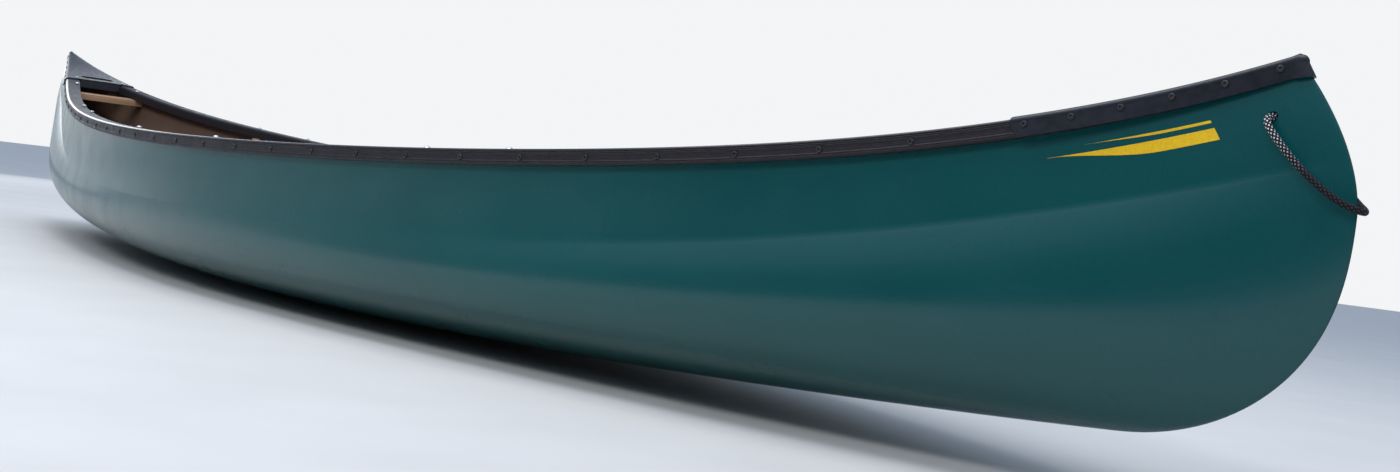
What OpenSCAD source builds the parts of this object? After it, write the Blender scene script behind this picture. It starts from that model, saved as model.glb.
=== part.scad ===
// Open two-person canoe: a moulded sandwich hull with vinyl gunwales over aluminium
// cores, moulded deck plates, two woven seats, a yoke, a thwart, two end handles and
// a rope loop through the bow. X runs from stern to bow, Y to port and Z up. The
// underside of the hull amidships is at Z = 0.

/* [Hull] */
// Length of the gunwale line from tip to tip
gunwale_len = 4800; // [4000:10:5400]
// Overhang of each stem beyond the gunwale tip
stem_bulge = 100; // [40:5:130]
// Width of the hull at the gunwale line amidships
gunwale_beam = 910; // [760:5:1000]
// Extra width of the hull at the shoulder line
shoulder_extra = 10; // [0:1:30]
// Height of the gunwale line amidships
mid_depth = 330; // [280:5:420]
// Rise of the gunwale line from amidships to the tips
end_rise = 245; // [150:5:300]
// Height of the shoulder line amidships
shoulder_z = 185; // [140:5:220]
// Rise of the shoulder line from amidships to the stems
shoulder_rise = 275; // [180:5:300]
// Rise of the keel line from amidships to where the stem begins
rocker = 90; // [40:5:120]
// Depth of the soft step above the shoulder
step_depth = 4; // [0:1:6]
// Thickness of the hull wall
hull_wall = 6; // [4:0.5:8]
// Half width of the solid stem edge
stem_edge = 5; // [3:0.5:8]
// Length of the solid stem behind its edge
stem_solid = 35; // [25:1:60]

/* [Gunwales] */
// Overhang of the gunwale outside the hull
rail_out = 13; // [10:0.5:20]
// Reach of the gunwale inside the hull's outer face
rail_in = 30; // [28:0.5:36]
// Thickness of the gunwale over the hull's edge
rail_top = 5; // [3:0.5:8]
// Depth of the gunwale's outer leg
rail_drop = 28; // [22:1:36]
// Thickness of the gunwale's inner leg
rail_wall = 3; // [2:0.5:4]
// Wall of the aluminium core
core_wall = 2; // [1.5:0.25:2.5]
// Depth of the aluminium core
core_drop = 22; // [16:1:24]
// Distance of the gunwale's ends from amidships
rail_end = 2270; // [1900:10:2300]
// Spacing of the gunwale rivets along the edge
rivet_pitch = 150; // [100:5:200]
// Number of gunwale rivets each way from amidships
rivet_each_way = 13; // [8:1:13]
// Diameter of a rivet head
rivet_head_d = 9.5; // [7:0.5:12]
// Diameter of a rivet shank
rivet_d = 4.8; // [3.2:0.1:6]

/* [Decks] */
// Distance of a deck plate's inboard edge from amidships
deck_start = 2052; // [1900:2:2150]
// Thickness of the deck plate
deck_wall = 3.5; // [2.5:0.5:5]
// Depth of the deck plate's side rim below its top
deck_rim = 32; // [24:1:40]
// Number of rivets along each side of a deck plate
deck_rivets_side = 6; // [3:1:7]
// Spacing of the deck rivets along the canoe
deck_rivet_pitch = 62; // [50:1:64]
// Width of the hand slot along the canoe
slot_w = 22; // [16:1:30]
// Length of the hand slot across the canoe
slot_len = 104; // [80:2:120]
// Width of the grab bar inboard of the hand slot
grab_bar = 24; // [18:1:34]
// Depth of the lips around the grab bar
lip_drop = 24; // [12:1:30]

/* [Woodwork] */
// Thickness of the seat rails, yoke, thwart and handles
wood_t = 19; // [15:1:25]
// Width of a seat rail
seat_rail_w = 38; // [30:1:45]
// Position of the bow seat's rear rail
bow_seat_x = 905; // [800:5:1000]
// Position of the stern seat's front rail
stern_seat_x = 1095; // [1000:5:1300]
// Spacing of the bow seat's rails
bow_seat_span = 215; // [190:5:260]
// Spacing of the stern seat's rails
stern_seat_span = 240; // [190:5:260]
// Height of the spacers above the bow seat
bow_drop = 60; // [30:5:80]
// Height of the spacers above the stern seat
stern_drop = 45; // [30:5:80]
// Distance between the outer edges of a seat's webbing
seat_web_w = 330; // [250:5:380]
// Thickness of the woven webbing
web_t = 3; // [2:0.5:4]
// Position of the yoke
yoke_x = 135; // [-100:5:200]
// Position of the thwart
thwart_x = -395; // [-700:5:-300]
// Distance of the end handles from amidships
handle_x = 1975; // [1850:5:1985]
// Diameter of the through bolts
bolt_d = 6; // [5:0.5:8]

/* [Rope] */
// Diameter of the rope
rope_d = 10; // [8:0.5:11]
// Diameter of the rope holes
rope_hole_d = 13; // [12:0.5:16]
// Distance of the rope holes from amidships
rope_hole_x = 2383; // [2370:1:2390]
// Height of the rope holes
rope_hole_z = 502; // [480:1:520]

/* [Hidden] */

// Colours
hull_green = [0.02, 0.30, 0.30];
vinyl_black = [0.10, 0.10, 0.12];
alloy = [0.70, 0.71, 0.73];
steel = [0.62, 0.63, 0.65];
ash = [0.80, 0.62, 0.40];
web_dark = [0.12, 0.12, 0.13];
rope_black = [0.08, 0.08, 0.08];

// Clearances
gap = 0.3;
hole_gap = 0.3;
flat_cut = 1.2;
rim_ease = 0.5;

// Shape of the hull's lines
half_len = gunwale_len / 2;
tip_z = mid_depth + end_rise;
stem_z = shoulder_z + shoulder_rise;
stem_x = half_len + stem_bulge;
bulge_z = 0.68 * tip_z;
keel_end_x = half_len - 2.4 * stem_bulge;
low_steps = 14;
high_steps = 4;
girth_steps = low_steps + high_steps;
long_steps = 26;
shoulder_beam = gunwale_beam + shoulder_extra;

// Gunwale section, as distances outward from the hull's edge and upward from it
hull_clear = hull_wall + 2.2;
core_out = -hull_clear;
core_in = -(rail_in - rail_wall - gap);
bolt_n = (core_out + core_in) / 2 - 2.5;
least_lean = 1.3;
rail_section = [
    [gap, gap], [-rail_in + rail_wall, gap],
    [-rail_in + rail_wall, -core_drop - 1.5], [-rail_in + 1, -core_drop - 1.5],
    [-rail_in, -core_drop - 0.5], [-rail_in, rail_top - 4.5],
    [-rail_in + 2, rail_top - 1.5], [-rail_in + 6, rail_top],
    [rail_out - 8, rail_top], [rail_out - 4, rail_top - 1], [rail_out - 1.2, rail_top - 3.5],
    [rail_out, -2], [rail_out, -rail_drop / 2], [rail_out, -rail_drop + 1.5],
    [rail_out - 1.5, -rail_drop], [gap, -rail_drop]
];
rail_low = -core_drop - 1.5;
core_section = [
    [core_out, 0], [core_out, -core_drop], [core_out - core_wall, -core_drop],
    [core_out - core_wall, -core_wall], [core_in + core_wall, -core_wall],
    [core_in + core_wall, -core_drop], [core_in, -core_drop], [core_in, 0]
];
rivet_z = -rail_drop / 2;
rivet_tail = 3;

// Deck plates
deck_top = rail_top + gap + deck_wall;
deck_out = rail_out + gap + deck_wall;
nose_x = half_len - 2;
nose_out = 8;
nose_steps = 6;
deck_steps = 10;
slot_x = deck_start + grab_bar + slot_w / 2;
lip_t = 4;
deck_corner = 3;
deck_screw_x = deck_start + 12;
deck_screw_n = (core_out + core_in) / 2;
deck_screw_d = 4;
deck_screw_len = 18;
deck_rivet_x = deck_start + 22;
deck_rivet_z = -8;

// Woodwork
bolt_hole_d = bolt_d + 2 * hole_gap;
washer_t = 1.5;
nut_t = 5;
head_t = 3.2;
head_r = bolt_d * 1.15;
spacer_len = 34;
thwart_w = 46;
handle_w = 30;
yoke_w = 48;
side_rail_w = 32;
side_rail_y = (seat_web_w - side_rail_w) / 2;
bow_rails = [bow_seat_x, bow_seat_x + bow_seat_span];
stern_rails = [-stern_seat_x, -stern_seat_x - stern_seat_span];
handle_xs = [handle_x, -handle_x];

// Route of the rope's centre line on the starboard side, from the knot to the stem
rope_half = [
    [2383, -6, 502], [2383, -14, 502], [2383, -22, 501.5], [2384.5, -30, 499],
    [2388, -36.5, 494.5], [2394, -40, 488], [2402, -41, 479.5], [2412, -40.5, 469.5],
    [2424, -39, 457.5], [2436, -37, 446], [2449, -34.5, 434.5], [2463, -31, 423],
    [2477, -26.5, 412.5], [2490, -20.5, 405], [2500.5, -13, 400], [2507, -6, 397.5]
];
rope_mid = [2509.5, 0, 397];
rope_sides = 10;
knot_r = 11.5;
knot_x = 2373.5;

function mirror_y(p) = [p[0], -p[1], p[2]];
function unit(v) = v / norm(v);
function mix(a, b, f) = a + (b - a) * f;

// Height gained along the canoe, from 0 amidships to 1 at the tips
function sheer_share(t) = 0.65 * t ^ 2 + 0.35 * t ^ 7;
function shoulder_share(t) = t ^ 2.8;
function keel_share(t) = t ^ 1.9;

// Distance of the stem from amidships at a height
function stem_angle(z) = acos(min(1, max(0, (bulge_z - z) / (bulge_z - rocker)) ^ 1.25));
function stem_line(z) = z < bulge_z
    ? keel_end_x + (stem_x - keel_end_x) * sin(stem_angle(z))
    : stem_x - stem_bulge * min(1, (z - bulge_z) / (tip_z - bulge_z)) ^ 1.75;

// The girth runs from 0 at the keel to girth_steps at the gunwale
function low_share(k) = min(1, k / low_steps);
function high_share(k) = max(0, (k - low_steps) / high_steps);
function girth_angle(k) = 90 * (1 - (1 - low_share(k)) ^ 1.7);
function round_up(k, power) = 1 - cos(girth_angle(k)) ^ power;
function mid_half(k, t) = shoulder_beam / 2 * sin(girth_angle(k)) ^ 0.92
    - shoulder_extra / 2 * high_share(k)
    - step_depth * (1 - t ^ 6) * sin(180 * high_share(k) ^ 0.6);
function mid_z(k) = shoulder_z * round_up(k, 0.59) + (mid_depth - shoulder_z) * high_share(k);
function end_z(k) = mix(rocker, stem_z, round_up(k, 0.8)) + (tip_z - stem_z) * high_share(k);
function rise_share(k, t) = k < low_steps
    ? mix(keel_share(t), shoulder_share(t), low_share(k))
    : mix(shoulder_share(t), sheer_share(t), high_share(k));
function fineness(k) = mix(0.7, 1.2, low_share(k)) - 0.05 * high_share(k);

// A point on the outside of the hull: k steps up the girth, t from -1 to 1 along it
function station(i) = sin(90 * i / long_steps);
function hull_half(k, t) = mid_half(k, t) * max(0, 1 - t ^ 1.8) ^ fineness(k);
function edge_half(t) = stem_edge * sqrt(1 - t ^ 40);
function hull_z(k, t) = mix(mid_z(k), end_z(k), rise_share(k, t));
function hull_raw(k, t) = [
    stem_line(end_z(k)) * t,
    k == 0 ? 0 : hull_half(k, abs(t)) + edge_half(abs(t)) * min(1, k / 2) + 0.5 * abs(t),
    hull_z(k, abs(t))
];
function hull_out(k, t) = let (p = hull_raw(k, t)) [p[0], p[1], max(0, p[2] - flat_cut)];

// A point on the inside, one wall thickness along the surface's own normal
function along(k, t) = hull_raw(k, min(0.999, t + 0.004)) - hull_raw(k, max(-0.999, t - 0.004));
function up_girth(k, t) = hull_raw(min(girth_steps, k + 0.2), t) - hull_raw(max(0.001, k - 0.2), t);
function hull_normal(k, t) = unit(cross(along(k, t), up_girth(k, t)));
function inner_t(k, t) = t * (1 - stem_solid / stem_line(end_z(k)));
function hull_in(k, t) = let (
    s = inner_t(k, t),
    p = hull_raw(k, s) + hull_wall * hull_normal(max(0.5, k), s)
) [
    p[0],
    k == 0 ? 0 : max(1.2 * min(1, k / 3), p[1]),
    k == girth_steps ? edge_z(p[0]) - rim_ease : p[2] - flat_cut
];

// One closed ring of the hull's section: out from port to starboard, and back inside
function hull_ring(t) = concat(
    [for (k = [girth_steps:-1:0]) hull_out(k, t)],
    [for (k = [1:girth_steps]) mirror_y(hull_out(k, t))],
    [for (k = [girth_steps:-1:0]) mirror_y(hull_in(k, t))],
    [for (k = [1:girth_steps]) hull_in(k, t)]
);

// Faces that join rings of n points, two triangles to each cell
function skin(rings, n) = [
    for (i = [0:rings - 2], j = [0:n - 1], half = [0, 1])
        let (a = i * n + j, b = i * n + (j + 1) % n)
            half == 0 ? [a, b, b + n] : [a, b + n, a + n]
];

// Faces that close one ring of the hull: the stem's edge, the inside and the top
function ladder(base, first, last, rungs) = [
    for (j = [0:rungs - 1], half = [0, 1])
        let (a = base + first + j, b = base + last - j)
            if (!(half == 1 && a + 1 == b - 1))
                half == 0 ? [a, b, a + 1] : [a + 1, b, b - 1]
];
function flipped(faces) = [for (f = faces) [f[2], f[1], f[0]]];
function hull_end(base) = let (m = 2 * girth_steps) concat(
    ladder(base, 0, m, girth_steps),
    ladder(base, m + 1, 2 * m + 1, girth_steps),
    [[base + m, base, base + m + 1], [base + m + 1, base, base + 2 * m + 1]]
);

module hull_shell() {
    ring = 4 * girth_steps + 2;
    rings = 2 * long_steps + 1;
    points = [for (i = [-long_steps:long_steps]) each hull_ring(station(i))];
    faces = concat(
        skin(rings, ring),
        hull_end(0),
        flipped(hull_end((rings - 1) * ring))
    );
    polyhedron(points, faces);
}

// The gunwale line, straight between the hull's stations: half width, height and slopes
edge_line = [for (i = [0:long_steps]) hull_out(girth_steps, station(i))];
edge_widths = [for (p = edge_line) [p[0], p[1]]];
edge_heights = [for (p = edge_line) [p[0], p[2]]];
function edge_y(x) = lookup(abs(x), edge_widths);
function edge_z(x) = lookup(abs(x), edge_heights);
function edge_slope(x) = (edge_y(x + 1) - edge_y(x - 1)) / 2;
function edge_rise(x) = (edge_z(x + 1) - edge_z(x - 1)) / 2;
function edge_turn(x) = atan(edge_slope(x));

// A place beside the gunwale line: n outward, square to the line, and z up
function edge_grow(x) = sqrt(1 + edge_slope(x) ^ 2);
function edge_point(x, n, z) = [x, edge_y(x) + n * edge_grow(x), edge_z(x) + z];
function bolt_y(x) = edge_point(x, bolt_n, 0)[1];
function seat_top(rails, drop) = edge_z(rails[0]) + rail_low - gap - drop;

// Half width of the hull at a place and height, and inside it less a working clearance
function side_y(x, z) = lookup(z, [
    for (k = [0:girth_steps])
        let (p = hull_raw(k, min(1, abs(x) / stem_line(end_z(k)))))
            [p[2] - flat_cut, p[1]]
]);
function room_y(x, low, high) =
    min([for (i = [0:4]) side_y(x, mix(low, high, i / 4))]) - hull_wall - 1.8;

// Lean of the gunwale's outer leg, which follows the side of the hull
function lean(x, z) = let (side = side_y(x, edge_z(x) - rail_drop) - edge_y(x))
    (max(0, side) + least_lean) * max(0, -z) / rail_drop;

// Places of equal length along the gunwale line
walk_step = 20;
walk = [for (x = 0, s = 0; x <= half_len - 40; x = x + walk_step,
    s = s + norm(edge_point(x, 0, 0) - edge_point(x - walk_step, 0, 0))) [s, x]];
function x_at(s) = sign(s) * lookup(abs(s), walk);
rivet_xs = [for (i = [-rivet_each_way:rivet_each_way]) x_at(i * rivet_pitch)];
deck_rivet_xs = [for (i = [0:deck_rivets_side - 1]) deck_rivet_x + i * deck_rivet_pitch];

// A section carried along the port gunwale line, with its end faces cut into triangles.
// Points outside the hull's edge lean with its side.
function fan(hub, first, last) = [for (i = [first:last - 1]) [hub, i, i + 1]];
function shifted(faces, by) = [for (f = faces) f + [by, by, by]];
rail_stations = [for (p = edge_line) if (p[0] < rail_end - 5) p[0]];
rail_xs = concat(
    [-rail_end], [for (i = [len(rail_stations) - 1:-1:1]) -rail_stations[i]],
    rail_stations, [rail_end]
);
module sweep_edge(section, end_faces) {
    n = len(section);
    xs = rail_xs;
    points = [for (x = xs, p = section)
        edge_point(x, p[0] + (p[0] > 0 ? lean(x, p[1]) : 0), p[1])];
    last = shifted(end_faces, (len(xs) - 1) * n);
    polyhedron(points, concat(skin(len(xs), n), flipped(end_faces), last));
}

module sides(port) {
    if (port) children();
    else mirror([0, 1, 0]) children();
}

module ends(bow) {
    if (bow) children();
    else mirror([1, 0, 0]) children();
}

// Cuts and fasteners placed on the port gunwale line
module on_edge(x, n, z) {
    translate(edge_point(x, n, z)) rotate([0, 0, edge_turn(x)]) children();
}

module outward(d, from, to) {
    translate([0, from, 0]) rotate([-90, 0, 0]) cylinder(d = d, h = to - from, $fn = 24);
}

module rivet_holes() {
    for (x = rivet_xs)
        on_edge(x, 0, rivet_z) outward(rivet_d + 2 * hole_gap, core_out - core_wall - 1, rail_out + 10);
}

module deck_rivet_holes() {
    for (x = deck_rivet_xs)
        on_edge(x, 0, deck_rivet_z) outward(rivet_d + 2 * hole_gap, -hull_wall - 2, deck_out + 10);
}

module all_deck_rivet_holes() {
    for (bow = [false, true])
        ends(bow) deck_rivet_holes();
}

// A frame that leans with the gunwale line at a place along the canoe
module tilted(x) {
    translate([x, 0, edge_z(x)]) rotate([0, -atan(edge_rise(x)), 0]) children();
}

module tilted_hole(x, y, d) {
    tilted(x) translate([0, y, -60]) cylinder(d = d, h = 90, $fn = 24);
}

module bolt_holes() {
    for (x = concat(bow_rails, stern_rails))
        translate([x, bolt_y(x), edge_z(x) - 60]) cylinder(d = bolt_hole_d, h = 90, $fn = 24);
    for (x = concat([yoke_x, thwart_x], handle_xs))
        tilted_hole(x, bolt_y(x), bolt_hole_d);
    for (x = [deck_screw_x, -deck_screw_x])
        tilted_hole(x, edge_point(x, deck_screw_n, 0)[1], deck_screw_d + 2 * hole_gap);
}

module rope_hole() {
    translate([rope_hole_x, -60, rope_hole_z])
        rotate([-90, 0, 0]) cylinder(d = rope_hole_d, h = 120, $fn = 32);
}

module hull() {
    color(hull_green) difference() {
        hull_shell();
        for (port = [false, true])
            sides(port) {
                rivet_holes();
                all_deck_rivet_holes();
            }
        for (bow = [false, true])
            ends(bow) rope_hole();
    }
}

module gunwale() {
    rail_ends = concat(fan(0, 5, 15), [[0, 1, 5]], fan(1, 2, 5));
    color(vinyl_black) difference() {
        sweep_edge(rail_section, rail_ends);
        rivet_holes();
        all_deck_rivet_holes();
        bolt_holes();
    }
}

module gunwale_core() {
    core_ends = concat(fan(0, 1, 4), [[0, 4, 7]], fan(4, 5, 7));
    color(alloy) difference() {
        sweep_edge(core_section, core_ends);
        rivet_holes();
        bolt_holes();
    }
}

// A button-headed rivet that points outward from the edge line, and its formed tail
module rivet(face, tail) {
    color(steel) {
        outward(rivet_d, tail, face + 0.2);
        translate([0, face, 0]) rotate([-90, 0, 0]) button(rivet_head_d / 2, 2);
    }
}

module formed_tail(tail) {
    color(steel) outward(rivet_d + 2, tail - rivet_tail, tail + 0.2);
}

module button(r, h) {
    ball = (r * r + h * h) / (2 * h);
    intersection() {
        translate([0, 0, h - ball]) sphere(ball, $fn = 48);
        cylinder(r = r, h = h, $fn = 32);
    }
}

module gunwale_rivets() {
    tail = core_out - core_wall - gap;
    for (x = rivet_xs)
        on_edge(x, 0, rivet_z) {
            rivet(rail_out + lean(x, rivet_z - rivet_head_d / 2) + gap, tail);
            formed_tail(tail);
        }
}

// Distance of the deck rim's outer face from the edge line at the lowest edge of a rivet
function rim_face(x) = let (
    z = deck_rivet_z - rivet_head_d / 2,
    low = deck_top - deck_rim,
    high = deck_top - deck_corner
) deck_reach(x, deck_out) + lean(x, low) * (high - z) / (high - low);

module deck_rivets() {
    for (port = [false, true])
        sides(port)
            for (x = deck_rivet_xs)
                on_edge(x, 0, deck_rivet_z)
                    rivet(rim_face(x) + gap, max(-hull_wall - 1, 1.5 - edge_y(x)));
}

// A closed loft over rows [point at the bottom, point at the top] of the port side, with
// its top edges eased
function loft_ring(row, ease) = let (
    low = row[0],
    top = row[1],
    half = [low, top - [0, 0, ease], top - [0, 0.3 * ease, 0.3 * ease], top - [0, ease, 0]]
) concat([for (p = half) mirror_y(p)], [for (i = [3:-1:0]) half[i]]);
module loft(rows, ease) {
    n = 8;
    end_faces = fan(0, 1, n - 1);
    last = shifted(end_faces, (len(rows) - 1) * n);
    points = [for (row = rows) each loft_ring(row, ease)];
    polyhedron(points, concat(skin(len(rows), n), flipped(end_faces), last));
}

// Rows of the deck plate a distance outside the edge line. The distance narrows past the
// gunwale's end, and the round nose leans out with the stem.
function deck_reach(x, out) =
    out - (deck_out - nose_out) * max(0, x - rail_end) / (nose_x - rail_end);
function deck_row(x, out, low, top) = let (reach = deck_reach(x, out))
    [edge_point(x, reach + lean(x, low), low), edge_point(x, reach, top)];
function nose_row(a, out, low, top) = let (
    x = nose_x,
    reach = deck_reach(x, out),
    r = edge_y(x) + reach,
    front = max(r, stem_line(edge_z(x) + low) + reach - x),
    side = r + lean(x, low)
) [
    [x + front * sin(a), max(2.5, side * cos(a)), edge_z(x) + low],
    [x + r * sin(a), max(2.5, r * cos(a)), edge_z(x) + top]
];
function deck_rows(start, out, low, top) = concat(
    [for (i = [0:deck_steps - 1])
        deck_row(mix(start, nose_x, i / deck_steps), out, low, top)],
    [for (i = [0:nose_steps])
        nose_row(i * 84 / nose_steps, out, low, top)]
);

module hand_slot() {
    reach = (slot_len - slot_w) / 2;
    translate([slot_x, 0, edge_z(slot_x)]) {
        translate([-slot_w / 2, -reach, -10]) cube([slot_w, 2 * reach, 40]);
        for (y = [-reach, reach])
            translate([0, y, -10]) cylinder(d = slot_w, h = 40, $fn = 32);
    }
}

// A lip that hangs across the canoe under the deck plate
module deck_lip(x) {
    half = edge_y(x + lip_t) - (rail_in + gap) * edge_grow(x + lip_t);
    translate([x, -half, edge_z(x) + rail_top + gap + 1.5 - lip_drop])
        cube([lip_t, 2 * half, lip_drop]);
}

module deck_plate() {
    under = rail_top + gap;
    color(vinyl_black) difference() {
        union() {
            difference() {
                loft(deck_rows(deck_start, deck_out, deck_top - deck_rim, deck_top), deck_corner);
                loft(deck_rows(deck_start - 20, rail_out + gap, -deck_rim - 20, under), 1);
            }
            deck_lip(deck_start);
            deck_lip(slot_x - slot_w / 2 - lip_t);
        }
        hand_slot();
        for (port = [false, true])
            sides(port) {
                deck_rivet_holes();
                tilted_hole(deck_screw_x, deck_screw_y, deck_screw_d + 2 * hole_gap);
            }
    }
}

deck_screw_y = edge_point(deck_screw_x, deck_screw_n, 0)[1];
module deck_screws() {
    color(steel) for (port = [false, true])
        sides(port)
            tilted(deck_screw_x) translate([0, deck_screw_y, deck_top + gap]) {
                button(deck_screw_d, 2.4);
                translate([0, 0, -deck_screw_len])
                    cylinder(d = deck_screw_d, h = deck_screw_len + 0.5, $fn = 24);
            }
}

// One bolt with its washer and nut, hanging from its seat through a grip of wood
module fastener(kind, grip) {
    if (kind == "bolt") {
        button(head_r, head_t);
        length = grip + washer_t + nut_t + 3;
        translate([0, 0, -length]) cylinder(d = bolt_d, h = length + 0.5, $fn = 24);
    }
    if (kind == "washer")
        translate([0, 0, -grip - gap - washer_t]) ring(bolt_d * 1.25, washer_t);
    if (kind == "nut")
        translate([0, 0, -grip - 2 * gap - washer_t - nut_t]) difference() {
            cylinder(d = bolt_d * 1.85, h = nut_t, $fn = 6);
            translate([0, 0, -1]) cylinder(d = bolt_d + 0.1, h = nut_t + 2, $fn = 24);
        }
}

module ring(r, h) {
    difference() {
        cylinder(r = r, h = h, $fn = 32);
        translate([0, 0, -1]) cylinder(d = bolt_hole_d, h = h + 2, $fn = 24);
    }
}

// A cross bar under the gunwales, with its reach fore and aft given along its length
function waist(u, end_w, mid_w) = mix(mid_w, end_w, u ^ 2) / 2;
module bar(x, fore, aft) {
    low = edge_z(x) + rail_low - wood_t - 8;
    high = edge_z(x) + rail_low + 4;
    fore_y = room_y(x + fore[bar_steps], low, high);
    aft_y = room_y(x - aft[bar_steps], low, high);
    outline = concat(
        [for (i = [-bar_steps:bar_steps]) [fore[abs(i)], fore_y * i / bar_steps]],
        [for (i = [bar_steps:-1:-bar_steps]) [-aft[abs(i)], aft_y * i / bar_steps]]
    );
    tilted(x) difference() {
        translate([0, 0, rail_low - gap - wood_t]) linear_extrude(wood_t) polygon(outline);
        for (side = [-1, 1])
            translate([0, side * bolt_y(x), -80]) cylinder(d = bolt_hole_d, h = 90, $fn = 24);
    }
}

module bar_fasteners(kind, x) {
    grip = rail_top - rail_low + 2 * gap + wood_t;
    color(steel) tilted(x)
        for (side = [-1, 1])
            translate([0, side * bolt_y(x), rail_top + gap])
                fastener(kind, grip);
}

bar_steps = 24;
function bump(s, at, width) = exp(-((s - at) / width) ^ 2);
thwart_edge = [for (i = [0:bar_steps]) waist(i / bar_steps, thwart_w, thwart_w - 8)];
handle_edge = [for (i = [0:bar_steps]) waist(i / bar_steps, handle_w, handle_w - 6)];
yoke_half = bolt_y(yoke_x);
yoke_fore = [for (i = [0:bar_steps])
    waist(i / bar_steps, yoke_w, yoke_w - 10) + 12 * bump(yoke_half * i / bar_steps, 105, 62)];
yoke_aft = [for (i = [0:bar_steps])
    waist(i / bar_steps, yoke_w, yoke_w - 10) + 20 * bump(yoke_half * i / bar_steps, 110, 52)
    - 5 * bump(yoke_half * i / bar_steps, 0, 45)];

module yoke() {
    color(ash) bar(yoke_x, yoke_fore, yoke_aft);
}

module thwart() {
    color(ash) bar(thwart_x, thwart_edge, thwart_edge);
}

module handle(x) {
    color(ash) bar(x, handle_edge, handle_edge);
}

// A seat rail with its ends cut to the taper of the hull
module seat_rail(x, top) {
    edges = [x - seat_rail_w / 2, x + seat_rail_w / 2];
    y = [for (e = edges) room_y(e, top - wood_t, top)];
    color(ash) difference() {
        translate([0, 0, top - wood_t]) linear_extrude(wood_t)
            polygon([[edges[0], -y[0]], [edges[1], -y[1]], [edges[1], y[1]], [edges[0], y[0]]]);
        for (side = [-1, 1])
            translate([x, side * bolt_y(x), top - 50])
                cylinder(d = bolt_hole_d, h = 100, $fn = 24);
    }
}

module seat_side(rails, top) {
    xs = [min(rails), max(rails)];
    start = xs[0] + seat_rail_w / 2 + gap;
    length = xs[1] - seat_rail_w / 2 - gap - start;
    color(ash) translate([start, side_rail_y - side_rail_w / 2, top - wood_t])
        cube([length, side_rail_w, wood_t]);
}

module seat_webbing(rails, top) {
    start = min(rails) - seat_rail_w / 2;
    length = abs(rails[1] - rails[0]) + seat_rail_w;
    color(web_dark) translate([start, -seat_web_w / 2, top + gap])
        cube([length, seat_web_w, web_t]);
}

module seat_spacers(rails, top) {
    color(ash)
        for (x = rails, side = [-1, 1])
            difference() {
                spacer_block(x, side, top);
                translate([x, side * bolt_y(x), top - 50])
                    cylinder(d = bolt_hole_d, h = 200, $fn = 24);
            }
}

module spacer_block(x, side, top) {
    edges = [x - spacer_len / 2, x + spacer_len / 2];
    high = min(edge_z(edges[0]), edge_z(edges[1])) + rail_low - gap;
    outer = [for (e = edges) room_y(e, top, high)];
    inner = [for (e = edges) edge_y(e) - rail_in + 1];
    translate([0, 0, top + gap]) linear_extrude(high - top - gap) polygon([
        [edges[0], side * inner[0]], [edges[1], side * inner[1]],
        [edges[1], side * outer[1]], [edges[0], side * outer[0]]
    ]);
}

module seat_fasteners(kind, rails, top) {
    color(steel)
        for (x = rails, side = [-1, 1]) {
            lift = rail_top + gap + head_r * edge_rise(abs(x));
            translate([x, side * bolt_y(x), edge_z(x) + lift])
                fastener(kind, edge_z(x) + lift - top + wood_t);
        }
}

// The rope: a tube along its route, with a knot inside the bow
rope_route = concat(rope_half, [rope_mid],
    [for (i = [len(rope_half) - 1:-1:0]) mirror_y(rope_half[i])]);
rope_across = [0.8, 0, 0.6];
function rope_way(i) = unit(rope_route[min(i + 1, len(rope_route) - 1)] - rope_route[max(i - 1, 0)]);
function rope_ring(i) = let (
    way = rope_way(i),
    u = unit(cross(way, rope_across)),
    v = cross(way, u)
) [for (j = [0:rope_sides - 1])
    rope_route[i] + rope_d / 2 * (u * cos(j * 360 / rope_sides) - v * sin(j * 360 / rope_sides))];

module bow_rope() {
    n = len(rope_route);
    end_faces = fan(0, 1, rope_sides - 1);
    points = [for (i = [0:n - 1]) each rope_ring(i)];
    last = shifted(end_faces, (n - 1) * rope_sides);
    color(rope_black) polyhedron(points, concat(skin(n, rope_sides), flipped(end_faces), last));
}

module bow_rope_knot() {
    color(rope_black) translate([knot_x, 0, rope_hole_z]) sphere(knot_r, $fn = 32);
}

bow_top = seat_top(bow_rails, bow_drop);
stern_top = seat_top(stern_rails, stern_drop);
module bow_seat_fasteners(kind) { seat_fasteners(kind, bow_rails, bow_top); }
module stern_seat_fasteners(kind) { seat_fasteners(kind, stern_rails, stern_top); }

hull();
gunwale();  // gunwale_port
sides(false) gunwale();  // gunwale_starboard
gunwale_core();  // gunwale_core_port
sides(false) gunwale_core();  // gunwale_core_starboard
gunwale_rivets();  // gunwale_rivets_port
sides(false) gunwale_rivets();  // gunwale_rivets_starboard
deck_plate();  // deck_plate_bow
ends(false) deck_plate();  // deck_plate_stern
deck_rivets();  // deck_rivets_bow
ends(false) deck_rivets();  // deck_rivets_stern
deck_screws();  // deck_screws_bow
ends(false) deck_screws();  // deck_screws_stern
seat_rail(bow_rails[1], bow_top);  // bow_seat_front_rail
seat_rail(bow_rails[0], bow_top);  // bow_seat_rear_rail
seat_side(bow_rails, bow_top);  // bow_seat_side_port
sides(false) seat_side(bow_rails, bow_top);  // bow_seat_side_starboard
seat_webbing(bow_rails, bow_top);  // bow_seat_webbing
seat_spacers(bow_rails, bow_top);  // bow_seat_spacers
bow_seat_fasteners("bolt");  // bow_seat_bolts
bow_seat_fasteners("washer");  // bow_seat_washers
bow_seat_fasteners("nut");  // bow_seat_nuts
seat_rail(stern_rails[0], stern_top);  // stern_seat_front_rail
seat_rail(stern_rails[1], stern_top);  // stern_seat_rear_rail
seat_side(stern_rails, stern_top);  // stern_seat_side_port
sides(false) seat_side(stern_rails, stern_top);  // stern_seat_side_starboard
seat_webbing(stern_rails, stern_top);  // stern_seat_webbing
seat_spacers(stern_rails, stern_top);  // stern_seat_spacers
stern_seat_fasteners("bolt");  // stern_seat_bolts
stern_seat_fasteners("washer");  // stern_seat_washers
stern_seat_fasteners("nut");  // stern_seat_nuts
yoke();
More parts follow.
